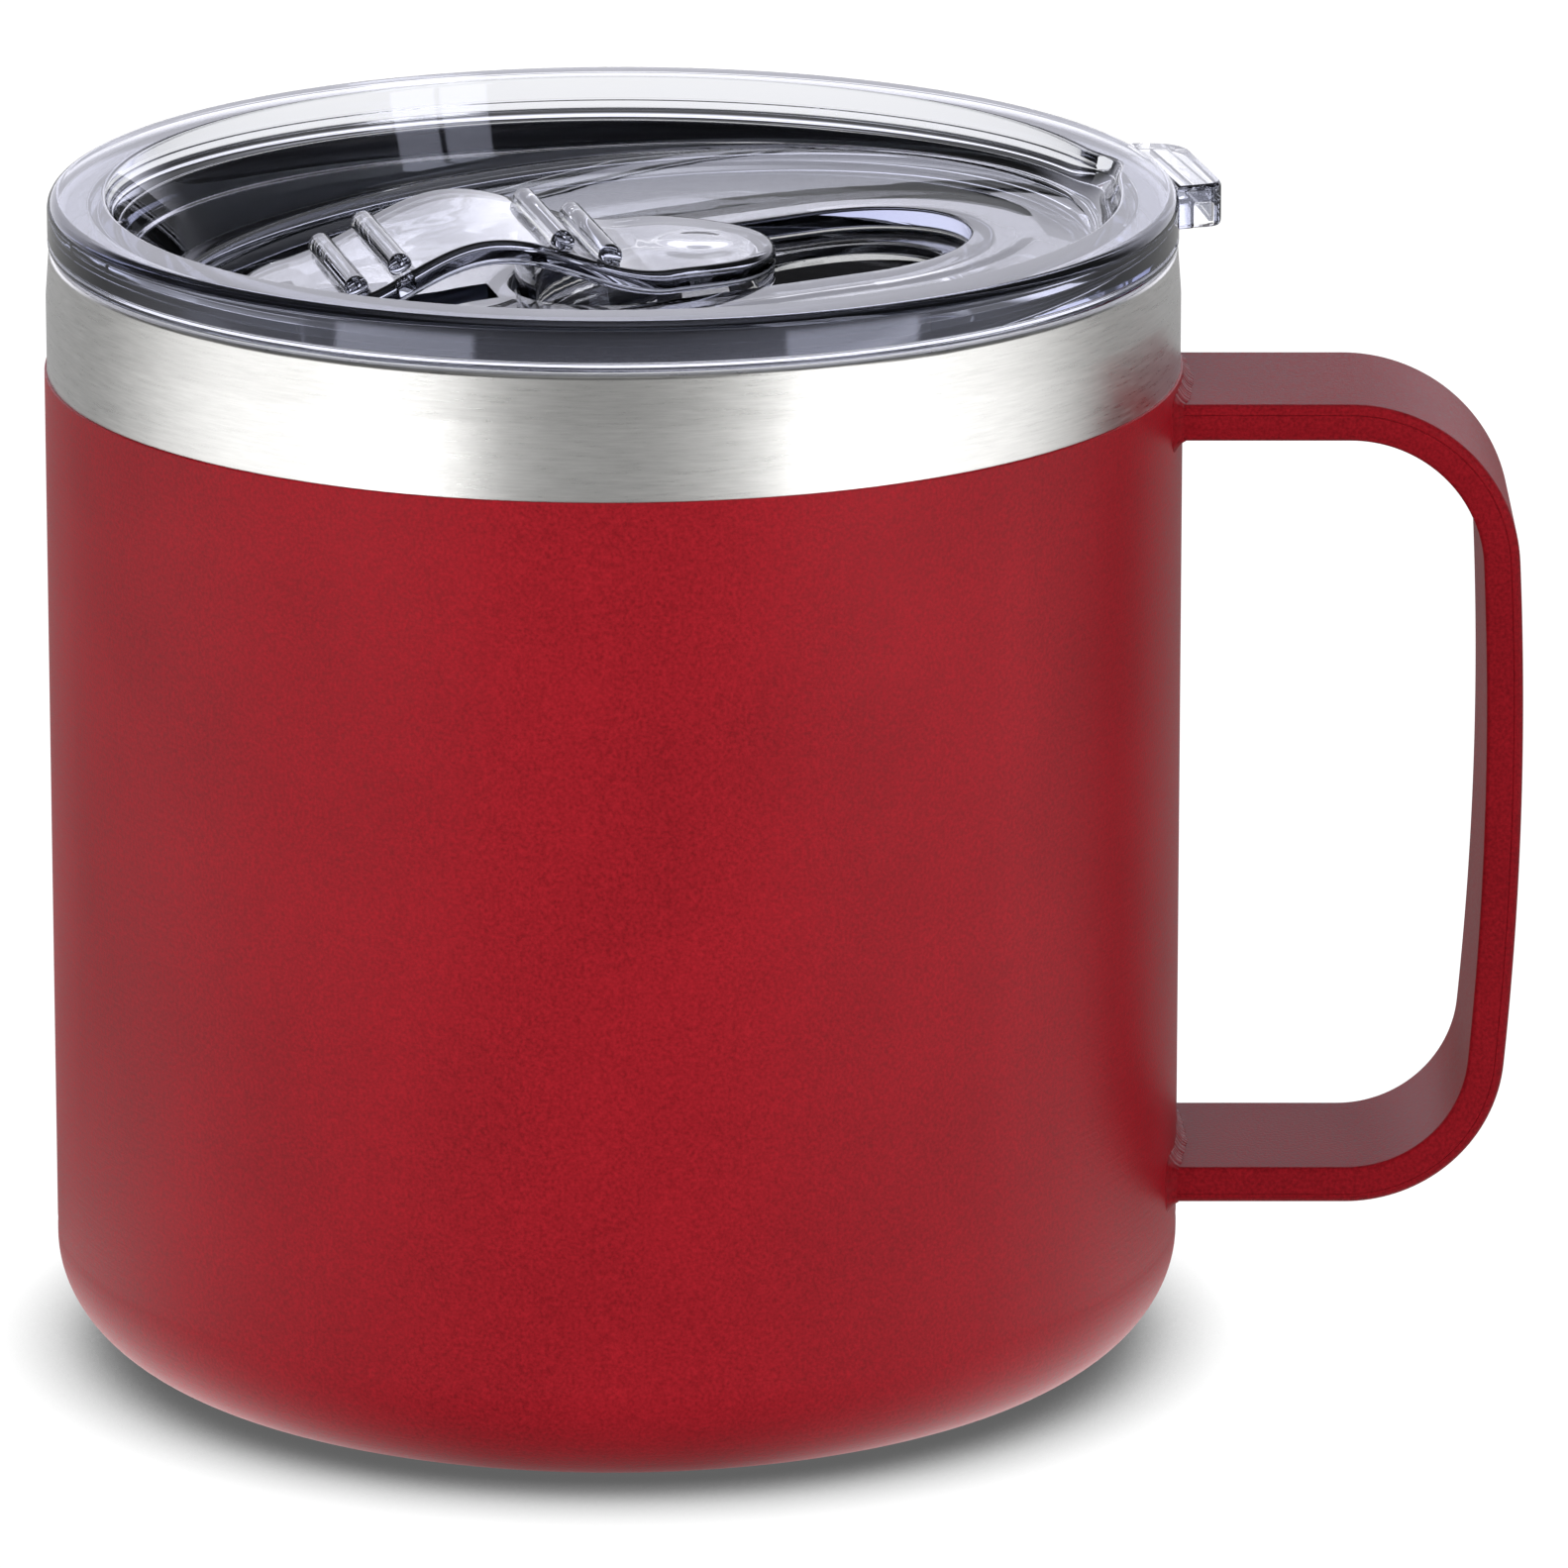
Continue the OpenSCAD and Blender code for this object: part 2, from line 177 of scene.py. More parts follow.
def slot_ring(x_low, x_high, r, arc_steps, line_steps, inset=0.0):
    """Points around a slot with round ends, anticlockwise from its +X end's middle."""
    r = max(r - inset, 0.0)
    points = [(x_high + x, y) for x, y in arc(0, 0, r, 0, 90, arc_steps)]
    for k in range(1, line_steps):
        points.append((x_high + (x_low - x_high) * k / line_steps, r))
    points += [(x_low + x, y) for x, y in arc(0, 0, r, 90, 270, 2 * arc_steps)]
    for k in range(1, line_steps):
        points.append((x_low + (x_high - x_low) * k / line_steps, -r))
    points += [(x_high + x, y) for x, y in arc(0, 0, r, 270, 360, arc_steps)][:-1]
    return points


def ease(a, b, t):
    """A smooth step from a to b as t goes from 0 to 1."""
    t = min(max(t, 0.0), 1.0)
    return a + (b - a) * (1 - math.cos(math.pi * t)) / 2


# ---- Meshes ----


WELD_DISTANCE = 0.0004 * MM


def finish_mesh(obj, sharp=40):
    """Welds points, turns faces outwards, and shades smooth but for edges sharper than an angle."""
    mesh = obj.data
    bm = bmesh.new()
    bm.from_mesh(mesh)
    bmesh.ops.remove_doubles(bm, verts=bm.verts, dist=WELD_DISTANCE)
    bmesh.ops.dissolve_degenerate(bm, edges=bm.edges, dist=WELD_DISTANCE)
    bmesh.ops.recalc_face_normals(bm, faces=bm.faces)
    bm.to_mesh(mesh)
    bm.free()
    mesh.polygons.foreach_set("use_smooth", [True] * len(mesh.polygons))
    mesh.set_sharp_from_angle(angle=math.radians(sharp))
    mesh.update()


def solid(name, rings, looped=False, sharp=40, capped=True):
    """A skin over rings of equally many points. looped joins the last ring to the first.

    Otherwise both ends are capped, unless they already shrink to a line or a point.
    """
    count = len(rings[0])
    points = [tuple(c * MM for c in p) for ring in rings for p in ring]
    faces = []
    for i in range(len(rings) if looped else len(rings) - 1):
        here, there = i * count, (i + 1) % len(rings) * count
        for k in range(count):
            m = (k + 1) % count
            faces.append((here + k, here + m, there + m, there + k))
    if capped and not looped:
        faces.append(tuple(range(count))[::-1])
        faces.append(tuple(range((len(rings) - 1) * count, len(rings) * count)))
    mesh = bpy.data.meshes.new(name)
    mesh.from_pydata(points, [], faces)
    obj = bpy.data.objects.new(name, mesh)
    bpy.context.scene.collection.objects.link(obj)
    finish_mesh(obj, sharp)
    return obj


def lathe(name, outline, segments=256, sharp=40, looped=True):
    """A closed outline of (radius, height) turned about the mug's axis."""
    turns = [math.tau * k / segments for k in range(segments)]
    rings = [[(r * math.cos(a), r * math.sin(a), z) for a in turns] for r, z in outline]
    return solid(name, rings, looped=looped, sharp=sharp)


def weighted_normals(obj):
    """Lets large faces set the shading, so that flats stay flat beside their rounded edges."""
    mod = obj.modifiers.new("shading", "WEIGHTED_NORMAL")
    mod.keep_sharp = True
    mod.weight = 60


def combine(obj, others, operation):
    """Joins other solids to obj, or cuts them out of it, and takes them out of the scene."""
    for other in others:
        mod = obj.modifiers.new("combine", "BOOLEAN")
        mod.operation = operation
        mod.solver = "EXACT"
        mod.object = other
    bpy.context.view_layer.update()
    evaluated = obj.evaluated_get(bpy.context.evaluated_depsgraph_get())
    mesh = bpy.data.meshes.new_from_object(evaluated)
    obj.modifiers.clear()
    obj.data = mesh
    for other in others:
        bpy.data.objects.remove(other)


def place(obj, body, material, *nodes):
    """Gives a piece its material, its body and the CAD nodes that it stands for."""
    obj.data.materials.clear()
    obj.data.materials.append(material)
    weighted_normals(obj)
    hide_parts(*nodes)
    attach(obj, body)


# ---- Materials ----


class Nodes:
    """A material's node tree, with short calls that add and link nodes."""

    def __init__(self, name):
        self.material = bpy.data.materials.new(name)
        self.material.use_nodes = True
        self.tree = self.material.node_tree
        self.shader = self.tree.nodes["Principled BSDF"]
        self.output = self.tree.nodes["Material Output"]

    def add(self, kind, settings=None, **inputs):
        """A new node with its settings, and its inputs set or linked, by names with _ for each space."""
        node = self.tree.nodes.new(kind)
        for key, value in (settings or {}).items():
            setattr(node, key, value)
        for key, value in inputs.items():
            self.put(node, key.replace("_", " "), value)
        return node

    def put(self, node, key, value):
        """Sets an input, or links it where the value is another node's output."""
        if isinstance(value, bpy.types.NodeSocket):
            self.tree.links.new(value, node.inputs[key])
        else:
            node.inputs[key].default_value = value

    def set(self, **inputs):
        """Sets or links the shader's own inputs."""
        for key, value in inputs.items():
            self.put(self.shader, key.replace("_", " "), value)

    def place(self, scale):
        """The object's own coordinates, stretched by a scale for each axis."""
        where = self.add("ShaderNodeTexCoord").outputs["Object"]
        return self.add("ShaderNodeMapping", Vector=where, Scale=scale).outputs["Vector"]

    def noise(self, scale, detail=2.0, roughness=0.5):
        """A noise's value, with a scale for each axis."""
        where = self.place(scale)
        node = self.add("ShaderNodeTexNoise", Vector=where, Scale=1.0, Detail=detail, Roughness=roughness)
        return node.outputs["Fac"]

    def spread(self, value, low, high):
        """The middle of a noise's values, where most of them lie, mapped to low..high."""
        middle = {"From_Min": 0.3, "From_Max": 0.7}
        node = self.add("ShaderNodeMapRange", Value=value, To_Min=low, To_Max=high, **middle)
        return node.outputs["Result"]

    def blend(self, value, first, second):
        """A colour between two, by a value."""
        node = self.add("ShaderNodeMix", {"data_type": "RGBA"})
        self.put(node, 0, value)
        node.inputs["A"].default_value = (*first, 1)
        node.inputs["B"].default_value = (*second, 1)
        return node.outputs["Result"]

    def bump(self, height, strength, distance, normal=None):
        """A normal that makes a height, up to a distance in metres, look raised."""
        node = self.add("ShaderNodeBump", Height=height, Strength=strength, Distance=distance)
        if normal is not None:
            self.put(node, "Normal", normal)
        return node.outputs["Normal"]


def powder_coat(name, brushed, dark, light, gloss):
    """Dark red powder coat: a fine grain, and on the mug's side the brushing of the steel below it."""
    m = Nodes(name)
    grain = m.noise((3600, 3600, 3600), detail=3.0, roughness=0.6)
    clouds = m.noise((70, 70, 70), detail=2.0)
    tone = m.add("ShaderNodeMath", {"operation": "MULTIPLY_ADD"})
    m.put(tone, 0, m.spread(grain, 0.0, 1.0))
    tone.inputs[1].default_value = 0.8
    m.put(tone, 2, m.spread(clouds, 0.0, 0.2))
    colour = m.blend(tone.outputs[0], dark, light)
    normal = m.bump(grain, strength=0.35, distance=0.00006)
    if brushed:
        lines = m.noise((110, 110, 3000), detail=3.0, roughness=0.65)
        normal = m.bump(lines, strength=0.45, distance=0.00004, normal=normal)
    m.set(
        Base_Color=colour,
        Roughness=m.spread(grain, 0.34, 0.46),
        Normal=normal,
        Specular_IOR_Level=gloss,
    )
    return m.material


def turned_steel(name, colour, low, high, streak, stretch):
    """Stainless steel with brush lines that run around the mug. A smaller streak makes them longer."""
    m = Nodes(name)
    lines = m.noise((streak, streak, 3800), detail=5.0, roughness=0.7)
    patches = m.noise((260, 260, 900), detail=2.0)
    shade = [c * 0.78 for c in colour]
    tangent = m.add("ShaderNodeTangent", {"direction_type": "RADIAL", "axis": "Z"}).outputs[0]
    rough = m.add("ShaderNodeMath", {"operation": "ADD"})
    m.put(rough, 0, m.spread(lines, low, high))
    m.put(rough, 1, m.spread(patches, -0.01, 0.015))
    m.set(
        Base_Color=m.blend(m.spread(lines, 0.0, 1.0), shade, colour),
        Metallic=1.0,
        Roughness=rough.outputs[0],
        Anisotropic=stretch,
        Anisotropic_Rotation=0.25,
        Tangent=tangent,
        Normal=m.bump(lines, strength=0.6, distance=0.00002),
    )
    return m.material


def clear_plastic(name, tint, density, roughness):
    """Clear moulded plastic with a faint tint that deepens with thickness, and a few fine flow marks."""
    m = Nodes(name)
    flow = m.noise((180, 180, 60), detail=1.5)
    specks = m.noise((900, 900, 900), detail=1.0)
    m.set(
        Base_Color=(1.0, 1.0, 1.0, 1),
        Roughness=m.spread(specks, roughness * 0.5, roughness * 1.5),
        IOR=1.52,
        Specular_Tint=(0.76, 0.79, 1.0, 1),
        Transmission_Weight=1.0,
        Normal=m.bump(flow, strength=0.05, distance=0.0002),
    )
    volume = m.add("ShaderNodeVolumeAbsorption")
    volume.inputs["Color"].default_value = (*tint, 1)
    volume.inputs["Density"].default_value = density
    m.tree.links.new(volume.outputs[0], m.output.inputs["Volume"])
    return m.material


def silicone(name):
    """Soft translucent silicone with a dull, slightly dusty skin."""
    m = Nodes(name)
    dust = m.noise((1400, 1400, 1400), detail=3.0)
    m.set(
        Base_Color=m.blend(m.spread(dust, 0.0, 1.0), (0.66, 0.70, 0.78), (0.70, 0.74, 0.82)),
        Roughness=m.spread(dust, 0.30, 0.36),
        IOR=1.41,
        Transmission_Weight=0.9,
        Normal=m.bump(dust, strength=0.05, distance=0.00003),
    )
    return m.material


def plain_metal(name, colour, roughness, grain):
    """A small hidden metal part with a grain of its own."""
    m = Nodes(name)
    mottle = m.noise((grain, grain, grain), detail=3.0)
    m.set(
        Base_Color=m.blend(m.spread(mottle, 0.0, 1.0), [c * 0.8 for c in colour], colour),
        Metallic=1.0,
        Roughness=m.spread(mottle, roughness - 0.08, roughness + 0.08),
        Normal=m.bump(mottle, strength=0.3, distance=0.00005),
    )
    return m.material


def solder_glass(name):
    """Nearly black, glossy glass."""
    m = Nodes(name)
    mottle = m.noise((1500, 1500, 1500), detail=3.0)
    m.set(
        Base_Color=m.blend(m.spread(mottle, 0.0, 1.0), (0.03, 0.03, 0.035), (0.07, 0.07, 0.08)),
        Roughness=m.spread(mottle, 0.15, 0.4),
        Normal=m.bump(mottle, strength=0.2, distance=0.0001),
    )
    return m.material


body_coat = powder_coat(
    "body_coat", brushed=True, dark=(0.22, 0.005, 0.010), light=(0.48, 0.013, 0.024), gloss=0.16,
)
# The handle wears the same powder coat as the body, but its colour here is painted darker as painted shade
# on the handle's faces, and it is given less gloss
handle_coat = powder_coat(
    "handle_coat", brushed=False, dark=(0.17, 0.005, 0.009), light=(0.36, 0.011, 0.019), gloss=0.05,
)
band_steel = turned_steel("band_steel", (0.70, 0.695, 0.68), low=0.25, high=0.36, streak=260, stretch=0.5)
# The liner's steel is painted nearly black, as painted shade for the dim inside of the cup; bare steel of
# this kind is much lighter
shaded_inner_steel = turned_steel("shaded_inner_steel", (0.18, 0.18, 0.195), low=0.20, high=0.28, streak=90, stretch=0.3)
lid_plastic = clear_plastic("lid_plastic", (0.54, 0.57, 0.72), density=68.0, roughness=0.01)
slider_plastic = clear_plastic("slider_plastic", (0.56, 0.59, 0.74), density=60.0, roughness=0.01)


# ---- Mug body ----


def corner(inset, start=0, end=-90, steps=24):
    """The rounded bottom corner, a given distance inside the steel's outer face."""
    return arc(FOOT_R, CORNER_UP, CORNER_IN - inset, start, end, steps, r_up=CORNER_UP - inset)


def make_body():
    """The steel shells, the coat over them and the liner, each turned about the mug's axis."""
    band_edge = 0.12
    seam_dip = 0.06
    seam_reach = 0.5
    coat = BODY_R - STEEL_R
    low_angle = -math.degrees(math.asin((CORNER_UP - COAT_LOW) / (CORNER_UP + coat)))
    outside = [(STEEL_R, COAT_TOP)] + arc(BODY_R - band_edge, COAT_TOP - band_edge, band_edge, 90, 0, 4)
    outside += [(BODY_R, SEAM_Z + seam_reach), (BODY_R - seam_dip, SEAM_Z), (BODY_R, SEAM_Z - seam_reach)]
    outside += corner(-coat, 0, low_angle)
    inside = corner(0, low_angle, 0)
    place(lathe("coat_skin", outside + inside), "mug", body_coat, "powder_coat")

    neck = RIM_Z - 2.5
    wall_r = STEEL_R - WALL
    rim_corners = [
        (wall_r, SEAM_Z, 0), (STEEL_R, SEAM_Z, 0), (STEEL_R, RIM_Z - 4, 8), (STEEL_R - 0.3, RIM_Z, 0.35),
        (MOUTH_OUT_R, RIM_Z, 0.1), (MOUTH_OUT_R, neck, 0), (wall_r, neck - 1.5, 0),
    ]
    place(lathe("steel_wall", rounded(rim_corners, closed=True)), "mug", band_steel, "outer_shell")

    foot_in = COVER_R + 1.4
    port_r = 1.2
    port_z = RECESS_Z + 1.4
    base = [(wall_r, SEAM_Z), (STEEL_R, SEAM_Z)] + corner(0)
    base += rounded([
        (FOOT_R, 0, 0), (foot_in, 0, 0.4), (foot_in - 0.8, RECESS_Z, 0.3), (7, RECESS_Z, 0.3),
        (6.2, port_z, 0.3), (port_r, port_z, 0), (port_r, port_z + WALL, 0), (7, port_z + WALL, 0),
        (7.8, RECESS_Z + WALL, 0), (foot_in, RECESS_Z + WALL, 0),
        (foot_in + WALL, WALL, 0), (FOOT_R, WALL, 0),
    ])[1:-1]
    base += corner(WALL)[::-1]
    place(lathe("base_dish", base), "mug", band_steel, "base_shell")

    pressed_z = COVER_Z + 0.15
    cover = rounded([
        (0, COVER_Z, 0), (9, COVER_Z, 0.5), (9.8, pressed_z, 0.5), (COVER_R - 3, pressed_z, 0.5),
        (COVER_R - 2.2, COVER_Z, 0.5), (COVER_R, COVER_Z, 0.4), (COVER_R, RECESS_Z, 0), (0, RECESS_Z, 0),
    ])
    place(lathe("base_disc", cover), "mug", band_steel, "base_cover")

    middle = (LINER_R - LINER_CORNER, FLOOR_Z + LINER_CORNER)
    cup = [(0, FLOOR_Z - WALL)] + arc(*middle, LINER_CORNER + WALL, -90, 0, 20)
    cup += rounded([
        (LINER_R + WALL, middle[1], 0), (LINER_R + WALL, NARROW_Z, 2), (MOUTH_OUT_R, SHOULDER_Z, 2),
        (MOUTH_OUT_R, RIM_Z, 0.02), (MOUTH_R, RIM_Z, 0.5), (MOUTH_R, SHOULDER_Z, 3), (LINER_R, NARROW_Z, 3),
        (LINER_R, middle[1], 0),
    ])[1:-1]
    cup += arc(*middle, LINER_CORNER, 0, -90, 20) + [(0, FLOOR_Z)]
    place(lathe("liner_cup", cup), "mug", shaded_inner_steel, "inner_liner")


# ---- Handle ----

BOW_X = HANDLE_REACH - BOW_R
UPPER_BEND_Z = HANDLE_TOP - UPPER_BEND_R
LOWER_BEND_Z = HANDLE_LOW + LOWER_BEND_R
UPPER_BEND_X = BOW_X + math.sqrt((BOW_R - UPPER_BEND_R) ** 2 - (UPPER_BEND_Z - BOW_Z) ** 2)
LOWER_BEND_X = BOW_X + math.sqrt((BOW_R - LOWER_BEND_R) ** 2 - (LOWER_BEND_Z - BOW_Z) ** 2)


def root_x(y, depth=0.08):
    """How far out a handle leg starts, a small depth inside the steel, at a distance y from the middle."""
    return math.sqrt((STEEL_R - depth) ** 2 - y * y)


def strap_point(y, depth, station):
    """A point of the strap, at a distance y across it and a depth below its outer face."""
    kind, value = station
    upper = math.degrees(math.atan2(UPPER_BEND_Z - BOW_Z, UPPER_BEND_X - BOW_X))
    lower = math.degrees(math.atan2(LOWER_BEND_Z - BOW_Z, LOWER_BEND_X - BOW_X))
    if kind == "upper_leg":
        x = root_x(y)
        return (x + (UPPER_BEND_X - x) * value, y, HANDLE_TOP - depth)
    if kind == "lower_leg":
        x = root_x(y)
        return (LOWER_BEND_X + (x - LOWER_BEND_X) * value, y, HANDLE_LOW + depth)
    cx, cz, r, start, end = {
        "upper_bend": (UPPER_BEND_X, UPPER_BEND_Z, UPPER_BEND_R, 90, upper),
        "grip": (BOW_X, BOW_Z, BOW_R, upper, lower),
        "lower_bend": (LOWER_BEND_X, LOWER_BEND_Z, LOWER_BEND_R, lower, -90),
    }[kind]
    a = math.radians(start + (end - start) * value)
    return (cx + (r - depth) * math.cos(a), y, cz + (r - depth) * math.sin(a))


def strap_stations():
    """Places along the strap, from the upper leg's root to the lower leg's."""
    counts = {"upper_leg": 10, "upper_bend": 36, "grip": 40, "lower_bend": 36, "lower_leg": 10}
    stations = []
    for kind, count in counts.items():
        stations += [(kind, k / count) for k in range(0 if kind == "upper_leg" else 1, count + 1)]
    return stations


def make_strap(name, section, node):
    """One half of the strap: a section of (distance across, depth) points carried along the strap."""
    rings = [[strap_point(y, depth, station) for y, depth in section] for station in strap_stations()]
    place(solid(name, rings, sharp=50), "mug", handle_coat, node)


def make_handle():
    """Both halves of the strap, each from its section of (distance across, depth) points."""
    half = STRAP_W / 2
    outer_edge, inner_edge, seam_edge = 0.75, 0.5, 0.1
    side_r = 1.5
    side_z = STRAP_T * 0.62
    belly = 0.18
    outer = rounded([
        (-half + belly, 0, outer_edge), (0, 0, 0), (half - belly, 0, outer_edge),
        (half, STRAP_WALL, seam_edge), (0, STRAP_WALL, 0), (-half, STRAP_WALL, seam_edge),
    ], steps=8, closed=True)
    inner = rounded([
        (-half, STRAP_WALL, seam_edge), (0, STRAP_WALL, 0), (half, STRAP_WALL, seam_edge),
        (half, side_z, side_r), (half - belly, STRAP_T, inner_edge), (0, STRAP_T, 0),
        (-half + belly, STRAP_T, inner_edge), (-half, side_z, side_r),
    ], steps=6, closed=True)
    make_strap("handle_outer", outer, "handle_outer_strap")
    make_strap("handle_inner", inner, "handle_inner_channel")


# The weld bead's section, as shares of its size: away from the mug's side, and away from the leg
BEAD = (
    (-0.25, -0.25), (1.0, -0.25), (1.0, 0.02), (0.78, 0.14), (0.52, 0.34),
    (0.30, 0.62), (0.12, 0.92), (-0.02, 1.1), (-0.25, 1.1),
)
BEAD_SIZE = 0.85


def make_weld(name, leg_z, node):
    """A rippled bead where a leg meets the mug's side. leg_z is the height of the leg's lower face."""
    across, up = STRAP_W / 2, STRAP_T / 2
    lower_edge, upper_edge = 0.5, 0.6
    steps = 420
    outline = rounded([
        (across, -up, lower_edge), (across, up, upper_edge),
        (-across, up, upper_edge), (-across, -up, lower_edge),
    ], steps=5, closed=True)
    lengths = [math.dist(outline[i], outline[(i + 1) % len(outline)]) for i in range(len(outline))]
    total = sum(lengths)
    rings = []
    for k in range(steps):
        along, i = total * k / steps, 0
        while along > lengths[i]:
            along -= lengths[i]
            i += 1
        start, end = Vector(outline[i]), Vector(outline[(i + 1) % len(outline)])
        y, z = start.lerp(end, along / lengths[i])
        step = (end - start).normalized()
        out_y, out_z = step.y, -step.x
        s = total * k / steps
        ripple = 0.5 + 0.5 * abs(math.sin(s * 4.1 + 0.9 * math.sin(s * 1.7)))
        wander = 0.12 * math.sin(s * 0.9 + leg_z) + 0.08 * math.sin(s * 2.3)
        size = BEAD_SIZE * (0.80 + 0.20 * ripple + 0.6 * wander)
        ring = []
        for from_mug, from_leg in BEAD:
            py, pz = y + out_y * size * from_leg, z + out_z * size * from_leg
            surface = math.sqrt(BODY_R ** 2 - py * py)
            ring.append((surface + size * from_mug, py, leg_z + up + pz))
        rings.append(ring)
    place(solid(name, rings, looped=True, sharp=75), "mug", handle_coat, node)


# ---- Lid ----


def on_deck(x, y, h):
    """A point in the sloping deck's frame, in the lid's frame before the lid is turned."""
    c, s = math.cos(DECK_TILT), math.sin(DECK_TILT)
    return (x * c - h * s, y, DECK_Z + x * s + h * c)


def turned(points):
    """The lid's points, turned to where the lid stands in the mug."""
    c, s = math.cos(LID_TURN), math.sin(LID_TURN)
    return [(x * c - y * s, x * s + y * c, z) for x, y, z in points]


def deck_height(x):
    """Height of the flat deck's plane."""
    return DECK_Z + x * math.tan(DECK_TILT)


# Steps along a quarter of a slot's round end, and along its straight side
LID_ARC = 48
LID_LINE = 40


def round_ring(r):
    """Points around a circle, spaced to suit the slot's rings that it joins."""
    end_angle = 58
    points = arc(0, 0, r, 0, end_angle, LID_ARC)
    points += arc(0, 0, r, end_angle, 180 - end_angle, LID_LINE)[1:-1]
    points += arc(0, 0, r, 180 - end_angle, 180 + end_angle, 2 * LID_ARC)
    points += arc(0, 0, r, 180 + end_angle, 360 - end_angle, LID_LINE)[1:-1]
    points += arc(0, 0, r, 360 - end_angle, 360, LID_ARC)[:-1]
    return points


def recess_r(z):
    """The inside radius of the lid's recess at a height."""
    return RECESS_TOP_R - (LID_TOP - z) * math.tan(RECESS_DRAFT)


def deck_edge(x):
    """How far out the deck meets the recess's wall, in a direction whose unit vector has this x part."""
    draft, slope = math.tan(RECESS_DRAFT), math.tan(DECK_TILT)
    return (RECESS_TOP_R - (LID_TOP - DECK_Z - DISH) * draft) / (1 - draft * slope * x)


def dish(x, y):
    """How much the deck curls up near its edge."""
    r = max(math.hypot(x, y), 0.001)
    return DISH * max(0.0, 1 - (deck_edge(x / r) - r) / DISH_REACH) ** 2


def slot_rings(slot, profile):
    """Rings around a slot for each (distance outwards, height above the deck)."""
    x_low, x_high, r = slot
    rings = []
    for out, h in profile:
        ring = slot_ring(x_low, x_high, r + out, LID_ARC, LID_LINE)
        rings.append([on_deck(x, y, h) for x, y in ring])
    return rings


def between(first, last, parts):
    """The rings that split the way from one ring to another into equal parts."""
    rings = []
    for k in range(1, parts):
        rings.append([tuple(Vector(a).lerp(Vector(b), k / parts)) for a, b in zip(first, last)])
    return rings


def circle_rings(profile):
    """Level rings around the lid's axis for each (radius, height)."""
    return [[(x, y, z) for x, y in round_ring(r)] for r, z in profile]


def notched(x, y, z):
    """A point of the lid, moved out where the recess's wall has its shallow notch at the high end."""
    half_sweep, wall_reach = 20, 3
    depth, half_angle = 1.2, 4.5
    start_z, rise, fade = 94, 2.5, 2.5
    r, angle = math.hypot(x, y), math.degrees(math.atan2(y, x))
    near_wall = recess_r(z) - 0.6 < r < recess_r(z) + wall_reach
    if abs(angle) > half_sweep or not near_wall or z < DECK_Z:
        return x, y, z
    out = ease(0, depth, (z - start_z) / rise) * math.exp(-(angle / half_angle) ** 2)
    out *= ease(1, 0, (r - recess_r(z) - 0.5) / fade)
    return x * (r + out) / r, y * (r + out) / r, z


FLOOR_LOW = -DECK_T - POCKET_D
HOLE_LOW = -POCKET_D - HOLE_EDGE_T


def pocket_rings():
    """Up out of the drinking hole, over the pocket's floor and wall, and over its slightly raised border."""
    rings = slot_rings(HOLE, rounded([(0, HOLE_LOW + 0.4, 0), (0, -POCKET_D, 0.12), (1, -POCKET_D, 0)]))
    wall = slot_rings(POCKET, rounded([(-1, -POCKET_D, 0), (0, -POCKET_D, 0.25), (0.12, 0, 0)])[:-1])
    border = arc(0.42, -0.2, 0.3, 180, 90, 6)
    border += [(1.5, 0.11), (3.0, 0.11), (4.2, 0.09), (4.9, 0.05), (5.6, 0.01), (6.0, 0)]
    return rings + between(rings[-1], wall[0], 5) + wall + slot_rings(POCKET, border)


def deck_rings(border_edge):
    """From the pocket's border over the deck, which curls up into a fillet at the recess's wall."""
    fillet, fillet_steps = 1.1, 7
    flat_edge, corners = [], []
    for x, y in round_ring(1.0):
        r = deck_edge(x)
        top = deck_height(x * r)
        flat_edge.append((x * r, y * r, top))
        wall_z = top + DISH + fillet * math.cos(RECESS_DRAFT)
        start_x, start_y = x * (r - fillet), y * (r - fillet)
        corners.append([
            Vector((start_x, start_y, deck_height(start_x) + dish(start_x, start_y))),
            Vector((x * r, y * r, top + DISH)),
            Vector((x * recess_r(wall_z), y * recess_r(wall_z), wall_z)),
        ])
    rings = []
    for t in (0.12, 0.25, 0.38, 0.5, 0.62, 0.74, 0.84, 0.92):
        flat = [Vector(a).lerp(Vector(b), t) for a, b in zip(border_edge, flat_edge)]
        rings.append([(x, y, z + t * dish(x, y)) for x, y, z in flat])
    for k in range(fillet_steps + 1):
        t = k / fillet_steps
        rings.append([tuple(p * (1 - t) ** 2 + q * 2 * t * (1 - t) + w * t * t) for p, q, w in corners])
    return rings


def flange_rings(fillet_end):
    """Up the recess's wall, over the flange with the fine groove in its side, and down the grooved skirt."""
    wall_end = LID_TOP - 0.9
    top_edge = rounded([(recess_r(wall_end), wall_end, 0), (RECESS_TOP_R, LID_TOP, 0.45), (43, LID_TOP, 0)])
    line_z, line_depth = FLANGE_LOW + 0.8, 0.18
    groove_top, groove_low = gasket_high.z + 0.1, gasket_low.z - 0.1
    outer = rounded([
        (43.2, LID_TOP, 0), (FLANGE_R, LID_TOP, 1.0), (FLANGE_R, FLANGE_LOW + 0.95, 0.15),
        (FLANGE_R - line_depth, line_z, 0.1), (FLANGE_R, FLANGE_LOW + 0.65, 0.15),
        (FLANGE_R, FLANGE_LOW, 0.45),
        (SKIRT_R, FLANGE_LOW, 0.3), (SKIRT_R, groove_top, 0.1), (GROOVE_R, groove_top, 0.15),
        (GROOVE_R, groove_low, 0.15), (SKIRT_R, groove_low, 0.1), (SKIRT_R, SKIRT_Z, 0.6),
        (SKIRT_IN_R, SKIRT_Z, 0.4), (SKIRT_IN_R, SKIRT_Z + 1.2, 0),
    ], steps=5)
    wall_top = circle_rings(top_edge[:1])[0]
    return between(fillet_end, wall_top, 5) + circle_rings(top_edge) + circle_rings(outer)


